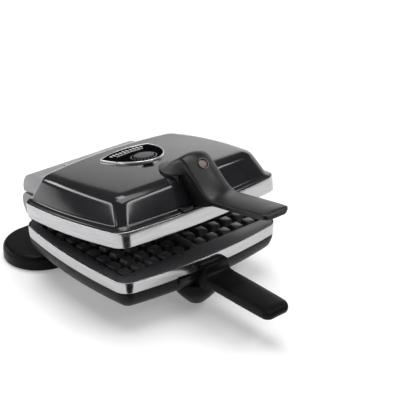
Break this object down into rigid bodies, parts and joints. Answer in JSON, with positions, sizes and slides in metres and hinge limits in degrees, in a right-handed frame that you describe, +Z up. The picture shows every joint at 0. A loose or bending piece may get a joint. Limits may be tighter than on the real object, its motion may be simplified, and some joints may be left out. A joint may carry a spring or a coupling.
{
  "type": "waffle maker",
  "caption": "Domed waffle maker with a hinged lid, ribbed plates between steel bands, a hooked front handle, a lower grip, a browning dial and a lamp.",
  "frame": {"origin": "middle of the object's footprint, on the surface it stands on", "axes": "+X to the right of a user who faces the handles, +Y from the handles to the hinge, +Z up"},
  "size_m": [0.264, 0.426, 0.201],
  "materials": {
    "gloss_black_abs": "moulded, high gloss",
    "matte_black_phenolic": "moulded, satin to matte",
    "brushed_steel": "brushed along its length",
    "nonstick_coating": "die casting with a dark grey non-stick coating",
    "grey_abs": "moulded, fine matte grain",
    "zinc_plated_steel": "bright zinc plate",
    "chrome_trim": "polished chrome plate",
    "lamp_lens": "clear tinted moulding, lamp unlit",
    "rubber": "matte",
    "white_ceramic": "glazed insulating ceramic",
    "bright_steel_sheet": "thin aluminised sheet",
    "element_steel": "heat-darkened sheath",
    "knob_grey": "moulded, satin"
  },
  "bodies": {
    "base": {"bottom_cover": "matte_black_phenolic", "bottom_cover_screw_1": "zinc_plated_steel", "bottom_cover_screw_2": "zinc_plated_steel", "bottom_cover_screw_3": "zinc_plated_steel", "bottom_cover_screw_4": "zinc_plated_steel", "cord_bush": "rubber", "friction_washer_1": "bright_steel_sheet", "friction_washer_2": "bright_steel_sheet", "front_foot": "matte_black_phenolic", "hinge_pin_1": "zinc_plated_steel", "hinge_pin_2": "zinc_plated_steel", "lower_casing": "gloss_black_abs", "lower_handle": "matte_black_phenolic", "lower_handle_screw_1": "zinc_plated_steel", "lower_handle_screw_2": "zinc_plated_steel", "lower_heating_element": "element_steel", "lower_hinge_block": "grey_abs", "lower_latch_spring": "zinc_plated_steel", "lower_reflector_tray": "bright_steel_sheet", "lower_steel_band": "brushed_steel", "lower_waffle_plate": "nonstick_coating", "rear_stand": "matte_black_phenolic", "rubber_pad_1": "rubber", "rubber_pad_2": "rubber", "rubber_pad_3": "rubber", "sensor_bracket": "zinc_plated_steel", "stand_screw_1": "zinc_plated_steel", "stand_screw_2": "zinc_plated_steel", "terminal_block": "white_ceramic", "thermal_fuse": "white_ceramic"},
    "lid": {"lid_casing": "gloss_black_abs", "upper_steel_band": "brushed_steel", "upper_waffle_plate": "nonstick_coating", "upper_heating_element": "element_steel", "upper_reflector_tray": "bright_steel_sheet", "upper_handle_cover": "matte_black_phenolic", "upper_handle_base": "matte_black_phenolic", "lamp_bezel": "gloss_black_abs", "lamp_lens": "lamp_lens", "lamp_holder": "white_ceramic", "badge_trim_ring": "chrome_trim", "badge_plate": "gloss_black_abs", "thermostat_body": "zinc_plated_steel", "thermostat_bracket": "zinc_plated_steel", "upper_hinge_block": "grey_abs", "upper_latch_spring": "zinc_plated_steel", "upper_handle_screw_1": "zinc_plated_steel", "upper_handle_screw_2": "zinc_plated_steel", "hinge_block_screw_1": "zinc_plated_steel", "hinge_block_screw_2": "zinc_plated_steel"},
    "dial": {"dial_knob": "knob_grey", "dial_shaft": "zinc_plated_steel"},
    "upper_latch": {"upper_plate_latch": "matte_black_phenolic"},
    "lower_latch": {"lower_plate_latch": "matte_black_phenolic"}
  },
  "joints": [
    {"name": "lid_hinge", "type": "hinge", "parent": "base", "child": "lid", "pos_m": [0, 0.1895, 0.0845], "axis": [-1, 0, 0], "range_deg": [-9.5, 85]},
    {"name": "thermostat_turn", "type": "hinge", "parent": "lid", "child": "dial", "pos_m": [0, 0.0366, 0.1613], "axis": [0, 0.165, 0.9863], "range_deg": [-28, 84]},
    {"name": "upper_plate_release", "type": "slide", "parent": "lid", "child": "upper_latch", "axis": [0, 0.9863, -0.165], "range_m": [0, 0.003], "stiffness_N_per_m": 400, "springref_m": -0.002},
    {"name": "lower_plate_release", "type": "slide", "parent": "base", "child": "lower_latch", "axis": [0, 1, 0], "range_m": [0, 0.003], "stiffness_N_per_m": 400, "springref_m": -0.002}
  ]
}
